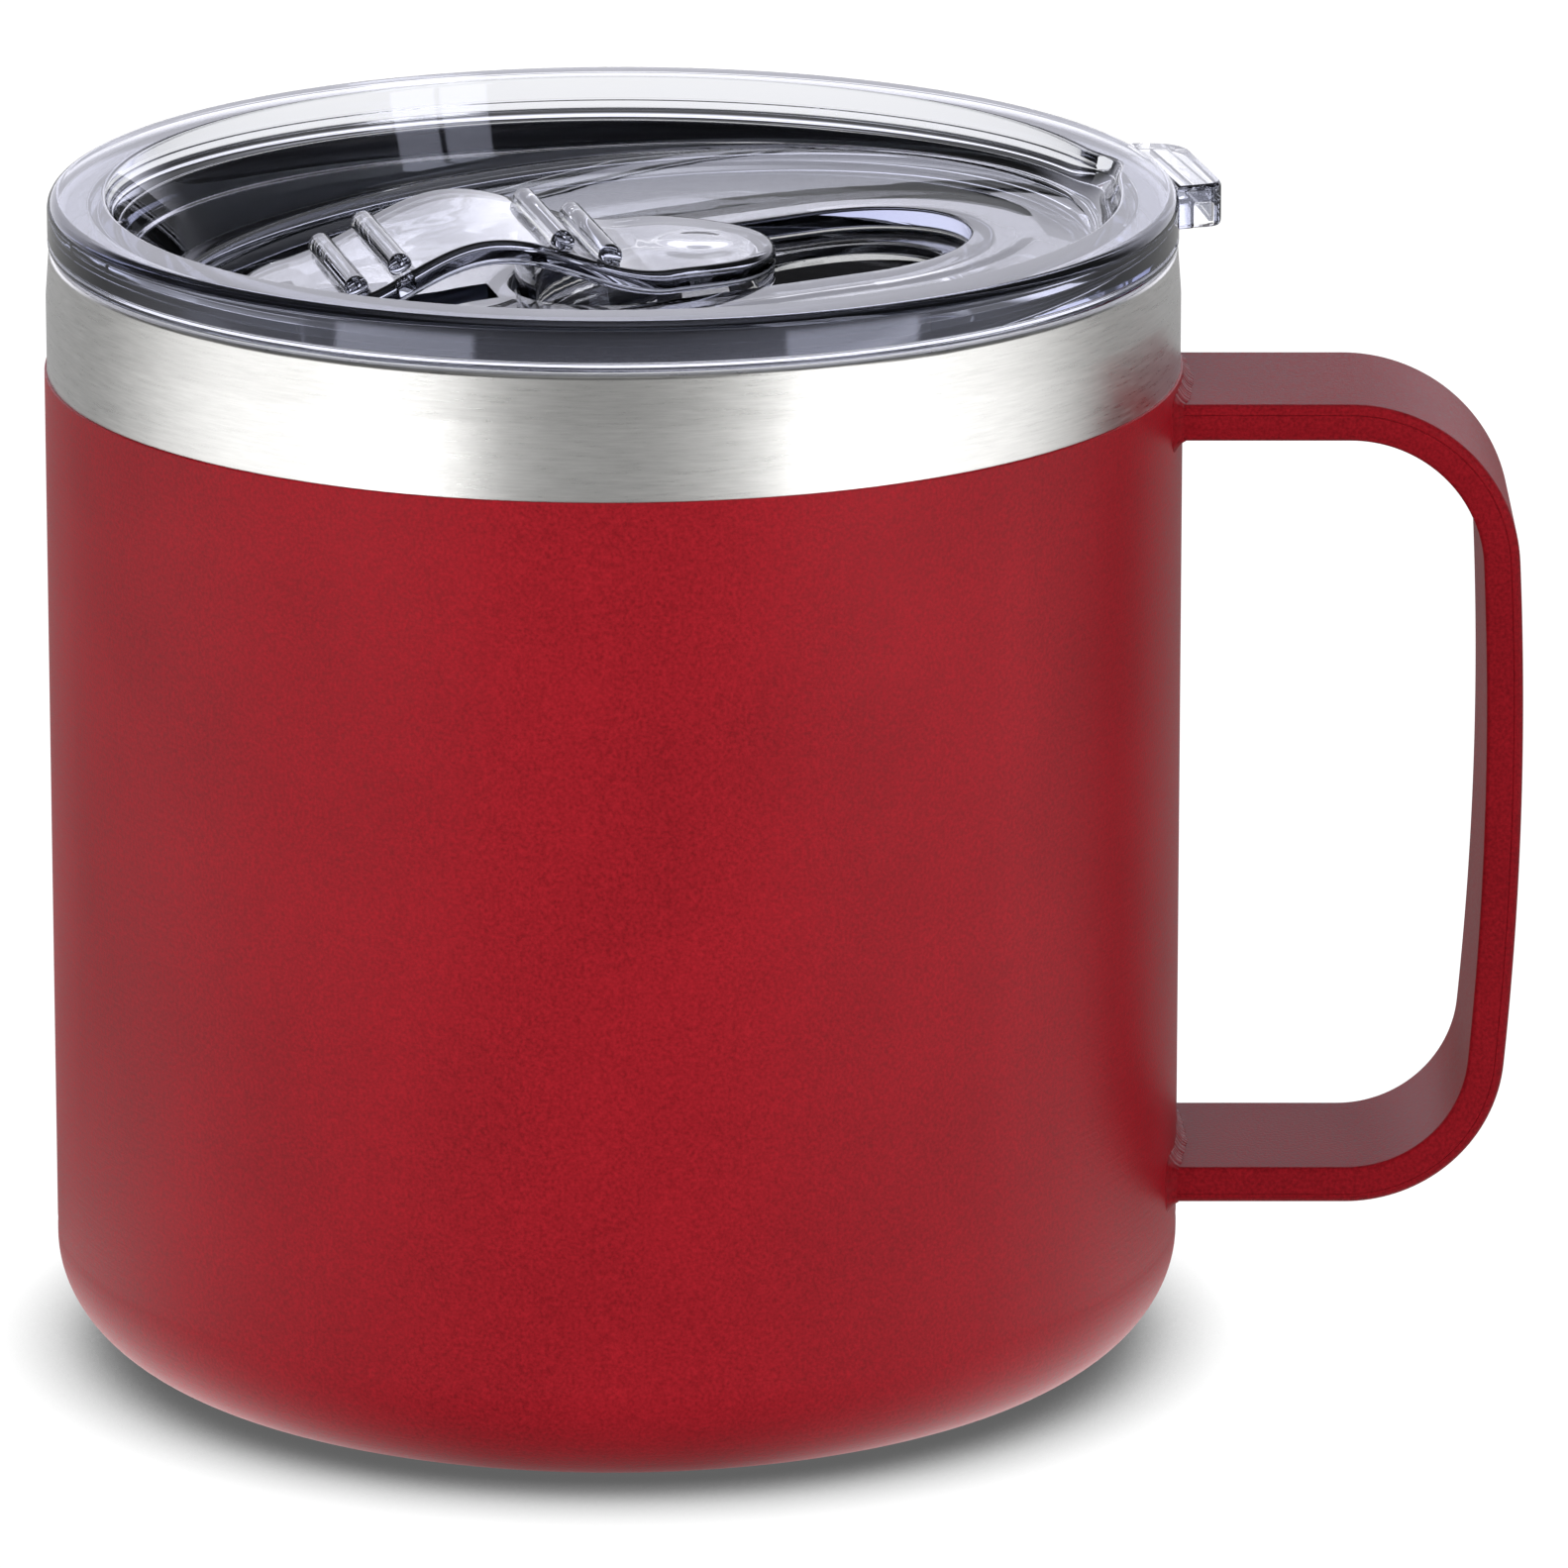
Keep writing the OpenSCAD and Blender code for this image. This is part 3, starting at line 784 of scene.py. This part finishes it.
def under_rings():
    """Below the deck, from the skirt's inside to the pocket's lower side and the hole."""
    rings = []
    for r, drop in ((SKIRT_IN_R + 0.1, 0.6), (SKIRT_IN_R - 0.1, 0.15), (SKIRT_IN_R - 0.6, 0.0)):
        rings.append([(x, y, deck_height(x) - DECK_T - drop) for x, y in round_ring(r)])
    tray = slot_rings(POCKET, rounded([
        (LID_WALL + 1, -DECK_T, 0), (LID_WALL, -DECK_T, 0.4),
        (LID_WALL, FLOOR_LOW, 0.5), (LID_WALL - 1.5, FLOOR_LOW, 0),
    ]))
    hole_edge = slot_rings(HOLE, rounded([(1.6, FLOOR_LOW, 0), (0, HOLE_LOW, 0.15), (0, HOLE_LOW + 0.3, 0)]))
    return rings + between(rings[-1], tray[0], 5) + tray + between(tray[-1], hole_edge[0], 4) + hole_edge


def make_lid_rings():
    """The lid's whole surface as rings: up out of the hole, over deck and flange, and back below."""
    rings = pocket_rings()
    rings += deck_rings(rings[-1])
    rings += flange_rings(rings[-1])
    rings += under_rings()
    return [turned([notched(*point) for point in ring]) for ring in rings]


def make_block(name, outline, low, high, edge, to_frame=None):
    """A closed prism with rounded upper and lower edges, from an outline of (x, y) points."""
    cx = sum(p[0] for p in outline) / len(outline)
    cy = sum(p[1] for p in outline) / len(outline)
    half_x = max(abs(p[0] - cx) for p in outline)
    half_y = max(abs(p[1] - cy) for p in outline)
    angles = (0, 0.4, 0.8, 1.2, math.pi / 2)
    profile = [(edge * (1 - math.sin(a)), low + edge * (1 - math.cos(a))) for a in angles]
    profile += [(edge * (1 - math.cos(a)), high - edge * (1 - math.sin(a))) for a in angles]
    rings = []
    for inset, z in profile:
        sx, sy = (half_x - inset) / half_x, (half_y - inset) / half_y
        ring = [(cx + (x - cx) * sx, cy + (y - cy) * sy, z) for x, y in outline]
        if to_frame:
            ring = [to_frame(*point) for point in ring]
        rings.append(turned(ring))
    return solid(name, rings)


def make_fin():
    """A thin rib down the recess's wall at its low end."""
    half, proud, root = 0.3, 0.5, 0.4
    low_z, high_z = DECK_Z - 4.2, LID_TOP - 0.6
    low_r, high_r = recess_r(low_z), recess_r(high_z)
    side = [
        (-high_r - root, high_z), (-high_r + proud, high_z),
        (-low_r + proud, low_z), (-low_r - root, low_z),
    ]
    return solid("fin", [turned([(x, y, z) for x, z in side]) for y in (-half, half)])


def rectangle(low_x, high_x, width):
    """Corners of a rectangle about the X axis."""
    return [(low_x, -width / 2), (high_x, -width / 2), (high_x, width / 2), (low_x, width / 2)]


def make_lid():
    """The lid's moulding with its thumb tab and fin, less the tab's hollow and the slider's guide slot."""
    lid = solid("lid_moulding", make_lid_rings(), looped=True)
    tab_root, tab_top = FLANGE_R - 0.9, LID_TOP - 0.35
    front_corner, rear_corner = 1.6, 3.2
    tab = rounded([
        (tab_root, -TAB_W / 2, 0), (TAB_REACH - 0.6, -TAB_W / 2 + 0.5, front_corner),
        (TAB_REACH - 0.2, TAB_W / 2 - 1.0, rear_corner), (tab_root, TAB_W / 2, 0),
    ], closed=True)
    block = make_block("tab", tab, FLANGE_LOW + 0.15, tab_top, 0.5)
    combine(lid, [block, make_fin()], "UNION")
    hollow = rectangle(FLANGE_R + 0.8, TAB_REACH - 1.5, TAB_W - 2 * LID_WALL)
    guide = rectangle(*GUIDE)
    cuts = [
        make_block("hollow", hollow, FLANGE_LOW - 1, tab_top - LID_WALL, 0.3),
        make_block("guide", guide, -DECK_T - 1, 1, 0.1, on_deck),
    ]
    combine(lid, cuts, "DIFFERENCE")
    finish_mesh(lid)
    place(lid, "lid", lid_plastic, "lid_shell")


def make_gasket():
    """The silicone ring in the skirt's groove, with its three fins."""
    low, high = gasket_low.z, gasket_high.z
    inner_r, web_r, fin_r = GROOVE_R + 0.15, SKIRT_R + 0.3, gasket_high.x
    fins = 3
    pitch = (high - low) / fins
    corners = [(inner_r, low, 0.15)]
    for i in range(fins):
        z = low + i * pitch
        corners += [(web_r, z, 0.1), (fin_r, z + 0.35 * pitch, 0.12)]
        corners += [(fin_r, z + 0.65 * pitch, 0.12), (web_r, z + 0.75 * pitch, 0.1)]
    corners += [(web_r, high, 0.1), (inner_r, high, 0.15)]
    ring = lathe("gasket_ring", rounded(corners, steps=4, closed=True))
    place(ring, "seal", silicone("gasket_silicone"), "lid_gasket")


# ---- Slider ----

# The plate's upper face: places along the deck, and heights above it
WAVE = ((TAIL_X, 3.1), (-25.5, 3.1), (-12, 6.7), (3, 2.2), (TIP_X, 1.4))


def wave_height(x):
    """Height of the slider's upper face above the deck."""
    for (x0, h0), (x1, h1) in zip(WAVE, WAVE[1:]):
        if x <= x1:
            return ease(h0, h1, (x - x0) / (x1 - x0))
    return WAVE[-1][1]


def raised_disc(x, y):
    """Height of the faint round mark on the slider's plate, above its plug."""
    height, centre_x, r = 0.12, 7.2, 3.2
    away = math.hypot(x - centre_x, y) / r
    return height * (1 - away ** 4) ** 2 if away < 1 else 0.0


def make_plate():
    """The wavy plate: cross-sections from tail to tip, rounded by their distance to the outline."""
    edge_r = 0.7
    across, round_steps, line_steps = 44, 26, 90
    first, last = TAIL_X + SLIDER_R, TIP_X - SLIDER_R
    quarter = [math.pi / 2 * k / round_steps for k in range(round_steps + 1)]
    stations = [first - SLIDER_R * math.cos(a) for a in quarter]
    stations += [first + (last - first) * k / line_steps for k in range(1, line_steps)]
    stations += [last + SLIDER_R * math.sin(a) for a in quarter]
    fractions = [math.sin(math.pi * (k / across - 0.5)) for k in range(across + 1)]
    rings = []
    for x in stations:
        beyond = max(first - x, x - last, 0.0)
        half = math.sqrt(max(SLIDER_R ** 2 - beyond ** 2, 0.0))
        top, bottom = [], []
        for fraction in fractions:
            y = half * fraction
            depth = max(edge_r - (SLIDER_R - math.hypot(beyond, y)), 0.0)
            fall = edge_r - math.sqrt(max(edge_r ** 2 - depth ** 2, 0.0))
            top.append(on_deck(x, y, wave_height(x) - fall + raised_disc(x, y)))
            bottom.append(on_deck(x, y, wave_height(x) - SLIDER_T + fall))
        rings.append(turned(top + bottom[::-1]))
    return solid("thumb_slider", rings, sharp=60, capped=False)


def make_rib(x):
    """A round bar across the slider's plate, with round ends."""
    r, half, proud = 1.0, 8.5, 0.45
    round_steps, sides = 8, 24
    nearly_right_angle = 1.55
    centre = wave_height(x) + proud
    angles = [math.pi / 2 * k / round_steps for k in range(round_steps)] + [nearly_right_angle]
    ends = [(half - r + r * math.sin(a), r * math.cos(a)) for a in angles]
    stations = [(-y, ring_r) for y, ring_r in reversed(ends)] + ends
    turns = [math.tau * (k + 0.3) / sides for k in range(sides)]
    rings = []
    for y, ring_r in stations:
        circle = [(x + ring_r * math.cos(a), centre + ring_r * math.sin(a)) for a in turns]
        rings.append(turned([on_deck(along, y, h) for along, h in circle]))
    return solid("rib", rings)


def make_prong(side):
    """A springy leg under the slider's tail, with a hook that grips the deck's lower face."""
    top, low, hook_top = 1.6, -DECK_T - 1.25, -DECK_T - 0.15
    inner_y, leg_y, hook_y = 0.8, 2.3, 3.4
    start_x, end_x = -30.2, -26.2
    outline = [
        (inner_y, low), (3.0, low), (hook_y, low + 0.5), (hook_y, hook_top),
        (leg_y, hook_top), (leg_y, top), (inner_y, top),
    ]
    return solid("prong", [turned([on_deck(x, side * y, z) for y, z in outline]) for x in (start_x, end_x)])


def make_plug():
    """The ring below the plate that closes the drinking hole, open in its middle."""
    outer, wall = (1.6, 3.6, 9.6), 1.6
    low = -POCKET_D + 0.2
    inside_plate = 1.0
    profile = (
        (0, None), (0, low + 0.5), (0.15, low + 0.15), (0.5, low),
        (wall - 0.5, low), (wall - 0.15, low + 0.15), (wall, low + 0.5), (wall, None),
    )
    rings = []
    for inset, h in profile:
        ring = []
        for x, y in slot_ring(*outer, 24, 12, inset):
            ring.append(on_deck(x, y, wave_height(x) - inside_plate if h is None else h))
        rings.append(turned(ring))
    return solid("plug", rings, looped=True)


def make_slider():
    """The plate joined with its plug, prongs and thumb ribs."""
    plate = make_plate()
    ribs_at = (-22.6, -18.9, -5.4, -1.6)
    others = [make_plug(), make_prong(-1), make_prong(1)] + [make_rib(x) for x in ribs_at]
    for other in others:
        combine(plate, [other], "UNION")
    finish_mesh(plate)
    place(plate, "slider", slider_plastic, "slider")


# ---- Hidden parts ----


def make_hidden():
    """Finishes for the parts in the vacuum space, which keep their CAD shape."""
    finishes = {
        "vacuum_seal": solder_glass("solder_glass"),
        "getter": plain_metal("getter_pellet", (0.30, 0.30, 0.31), 0.6, 2500),
        "getter_holder": plain_metal("holder_strip", (0.55, 0.55, 0.55), 0.35, 900),
        "foil_wrap": plain_metal("thin_foil", (0.85, 0.85, 0.86), 0.2, 300),
    }
    for node, material in finishes.items():
        obj = frame["nodes"][node]
        obj.data.materials.clear()
        obj.data.materials.append(material)


# ---- Studio ----

# Azimuth 0 is towards the camera and 90 towards the handle; heights are angles too, all in degrees.
# Soft panels at both sides, in the room and on the floor: lowest and highest azimuth, softness, brightness
PANELS = ((-97, -33, 26, 1.35), (28, 94, 22, 1.35))
PANEL_TOP = 8
# Windows with crisp edges: lowest and highest azimuth, lowest and highest height, brightness
WINDOWS = ((33, 45, 14, 46, 2.8), (46.5, 58, 14, 46, 2.8))
# White cards on the floor: lowest and highest azimuth, nearest and farthest edge in metres, brightness
CARDS = ((-54, -26, 0.33, 0.50, 4.0), (34, 61.5, 0.33, 0.50, 4.0))
CARD_SOFT = 0.02
# A soft light overhead: lowest height, brightness
TOP_LIGHT = (66, 0.6)
# A bluish panel behind the mug: lowest and highest azimuth, lowest and highest height, brightness
BACK_PANEL = (135, 225, -8, 27, 1.35)
BACK_TINT = (0.97, 0.97, 1.08, 1)
# The dim room's brightness up to PANEL_TOP, and above it
DIM = 0.42
DIM_ABOVE = 0.10
FLOOR_BOUNCE = 0.5
# How near the mug has to be, in metres, to darken the floor
SHADOW_REACH = 0.013


class StudioNodes:
    """Nodes that give a brightness by direction around the mug."""

    def __init__(self, tree):
        self.tree = tree

    def math(self, operation, *values):
        """A Math node's result, with its inputs set or linked."""
        node = self.tree.nodes.new("ShaderNodeMath")
        node.operation = operation
        for socket, value in zip(node.inputs, values):
            if isinstance(value, bpy.types.NodeSocket):
                self.tree.links.new(value, socket)
            else:
                socket.default_value = value
        return node.outputs[0]

    def direction(self, output):
        """Azimuth in degrees, -180 to 180, and the x, y and z of the place or direction."""
        coords = self.tree.nodes.new("ShaderNodeTexCoord")
        parts = self.tree.nodes.new("ShaderNodeSeparateXYZ")
        self.tree.links.new(coords.outputs[output], parts.inputs[0])
        x, y, z = parts.outputs
        turn = self.math("ARCTAN2", x, self.math("MULTIPLY", y, -1.0))
        return self.math("MULTIPLY", turn, 180 / math.pi), (x, y, z)

    def window(self, value, low, high, soft):
        """1 inside low..high, falling smoothly to 0 over a soft edge."""
        edges = []
        for start, stop in ((low - soft, low + soft), (high + soft, high - soft)):
            node = self.tree.nodes.new("ShaderNodeMapRange")
            node.interpolation_type = "SMOOTHSTEP"
            self.tree.links.new(value, node.inputs["Value"])
            flip = start > stop
            node.inputs["From Min"].default_value = min(start, stop)
            node.inputs["From Max"].default_value = max(start, stop)
            node.inputs["To Min"].default_value = 1.0 if flip else 0.0
            node.inputs["To Max"].default_value = 0.0 if flip else 1.0
            edges.append(node.outputs["Result"])
        return self.math("MULTIPLY", *edges)

    def around(self, azimuth, low, high, soft):
        """A window over azimuths, which may run past 180 degrees."""
        if high <= 180:
            return self.window(azimuth, low, high, soft)
        wrapped = self.math("FLOORED_MODULO", azimuth, 360.0)
        return self.window(wrapped, low, high, soft)

    def total(self, values):
        """The sum of a list of values."""
        result = values[0]
        for value in values[1:]:
            result = self.math("ADD", result, value)
        return result

    def straight(self):
        """1 for what is seen directly or through clear plastic, 0 for what only lights or is mirrored."""
        path = self.tree.nodes.new("ShaderNodeLightPath")
        bounces = self.math("ADD", path.outputs["Glossy Depth"], path.outputs["Diffuse Depth"])
        return self.math("LESS_THAN", bounces, 0.5)


def make_floor():
    """White paper with the mug's soft shadow, which glossy things mirror as light cards and panels."""
    bpy.ops.mesh.primitive_plane_add(size=12)
    floor = bpy.context.object
    floor.name = "floor"
    material = bpy.data.materials.new("floor_paper")
    material.use_nodes = True
    tree = material.node_tree
    tree.nodes.clear()
    n = StudioNodes(tree)
    azimuth, (x, y, _) = n.direction("Object")
    reach = n.math("SQRT", n.math("ADD", n.math("MULTIPLY", x, x), n.math("MULTIPLY", y, y)))
    parts = [DIM]
    for low, high, near, far, level in CARDS:
        card = n.math("MULTIPLY", n.around(azimuth, low, high, 1.0), n.window(reach, near, far, CARD_SOFT))
        parts.append(n.math("MULTIPLY", card, level))
    for low, high, soft, level in PANELS:
        parts.append(n.math("MULTIPLY", n.around(azimuth, low, high, soft), level))
    mirrored = tree.nodes.new("ShaderNodeEmission")
    tree.links.new(n.total(parts), mirrored.inputs["Strength"])

    contact = tree.nodes.new("ShaderNodeAmbientOcclusion")
    contact.samples = 16
    contact.inputs["Distance"].default_value = SHADOW_REACH
    shade = tree.nodes.new("ShaderNodeMapRange")
    shade.interpolation_type = "SMOOTHSTEP"
    tree.links.new(contact.outputs["AO"], shade.inputs["Value"])
    for name, value in {"From Min": 0.12, "From Max": 0.90, "To Min": 0.12, "To Max": 1.1}.items():
        shade.inputs[name].default_value = value
    shown = tree.nodes.new("ShaderNodeEmission")
    tree.links.new(shade.outputs["Result"], shown.inputs["Strength"])

    path = tree.nodes.new("ShaderNodeLightPath")
    paper = tree.nodes.new("ShaderNodeBsdfDiffuse")
    paper.inputs["Color"].default_value = (FLOOR_BOUNCE, FLOOR_BOUNCE, FLOOR_BOUNCE, 1)
    mirror_mix = tree.nodes.new("ShaderNodeMixShader")
    tree.links.new(path.outputs["Is Glossy Ray"], mirror_mix.inputs["Fac"])
    tree.links.new(paper.outputs[0], mirror_mix.inputs[1])
    tree.links.new(mirrored.outputs[0], mirror_mix.inputs[2])
    mix = tree.nodes.new("ShaderNodeMixShader")
    tree.links.new(n.straight(), mix.inputs["Fac"])
    tree.links.new(mirror_mix.outputs[0], mix.inputs[1])
    tree.links.new(shown.outputs[0], mix.inputs[2])
    out = tree.nodes.new("ShaderNodeOutputMaterial")
    tree.links.new(mix.outputs[0], out.inputs["Surface"])
    floor.data.materials.append(material)


def make_world():
    """A dim room with soft panels at both sides and behind, plain white where it is seen directly."""
    world = bpy.data.worlds.new("studio")
    bpy.context.scene.world = world
    world.use_nodes = True
    tree = world.node_tree
    n = StudioNodes(tree)
    azimuth, (_, _, z) = n.direction("Generated")
    height = n.math("MULTIPLY", n.math("ARCSINE", z), 180 / math.pi)
    below_all, above_all = -100, 100
    soft_height = 8

    def panel(low, high, low_z, high_z, level, soft):
        """A patch of light, half as soft at its upper and lower edges as at its sides."""
        wide = n.around(azimuth, low, high, soft)
        tall = n.window(height, low_z, high_z, soft * 0.5)
        return n.math("MULTIPLY", n.math("MULTIPLY", wide, tall), level)

    eye = n.straight()
    not_eye = n.math("SUBTRACT", 1.0, eye)
    low_part = n.window(height, below_all, PANEL_TOP, soft_height)
    parts = [DIM_ABOVE, n.math("MULTIPLY", low_part, DIM - DIM_ABOVE)]
    for low, high, soft, level in PANELS:
        side = n.math("MULTIPLY", n.around(azimuth, low, high, soft), low_part)
        parts.append(n.math("MULTIPLY", side, level))
    parts += [panel(*sizes, 0.5) for sizes in WINDOWS]
    overhead = n.window(height, TOP_LIGHT[0], above_all, soft_height)
    parts.append(n.math("MULTIPLY", overhead, TOP_LIGHT[1]))
    room = n.math("MULTIPLY", n.total(parts), not_eye)
    background = tree.nodes["Background"]
    background.inputs["Color"].default_value = (1, 1, 1, 1)
    tree.links.new(n.math("ADD", room, eye), background.inputs["Strength"])
    back = tree.nodes.new("ShaderNodeBackground")
    back.inputs["Color"].default_value = BACK_TINT
    tree.links.new(n.math("MULTIPLY", panel(*BACK_PANEL, 10.0), not_eye), back.inputs["Strength"])
    both = tree.nodes.new("ShaderNodeAddShader")
    tree.links.new(background.outputs[0], both.inputs[0])
    tree.links.new(back.outputs[0], both.inputs[1])
    tree.links.new(both.outputs[0], tree.nodes["World Output"].inputs["Surface"])


def make_fill():
    """A broad light from the front left, which brightens matt surfaces and doesn't show in glossy ones."""
    distance, azimuth, height = 1.5, math.radians(-14), math.radians(20)
    data = bpy.data.lights.new("fill", "AREA")
    data.shape = "DISK"
    data.size = 1.2
    data.energy = 11.0
    light = bpy.data.objects.new("fill", data)
    level = math.cos(height)
    toward = Vector((math.sin(azimuth) * level, -math.cos(azimuth) * level, math.sin(height)))
    light.location = toward * distance
    light.rotation_euler = toward.to_track_quat("Z", "Y").to_euler()
    light.visible_glossy = False
    light.visible_transmission = False
    light.visible_camera = False
    bpy.context.scene.collection.objects.link(light)


def make_camera():
    """A long lens about a metre away, which looks a little down at the mug."""
    data = bpy.data.cameras.new("camera")
    data.sensor_width = 36
    data.lens = 297.2
    camera = bpy.data.objects.new("camera", data)
    pitch = math.radians(15.82)
    aim = Vector((0.0139, 0, 0.0470))
    distance = 1.068
    camera.location = aim + Vector((0, -math.cos(pitch), math.sin(pitch))) * distance
    camera.rotation_euler = (math.pi / 2 - pitch, 0, 0)
    data.clip_start = 0.05
    data.clip_end = 50
    bpy.context.scene.collection.objects.link(camera)
    bpy.context.scene.camera = camera


make_camera()
make_floor()
make_world()
make_fill()
make_body()
make_handle()
make_weld("weld_upper", HANDLE_TOP - STRAP_T, "handle_weld_top")
make_weld("weld_lower", HANDLE_LOW, "handle_weld_bottom")
make_lid()
make_gasket()
make_slider()
make_hidden()

scene = bpy.context.scene
scene.view_settings.view_transform = "Standard"
scene.cycles.max_bounces = 16
scene.cycles.transmission_bounces = 16
scene.cycles.transparent_max_bounces = 16
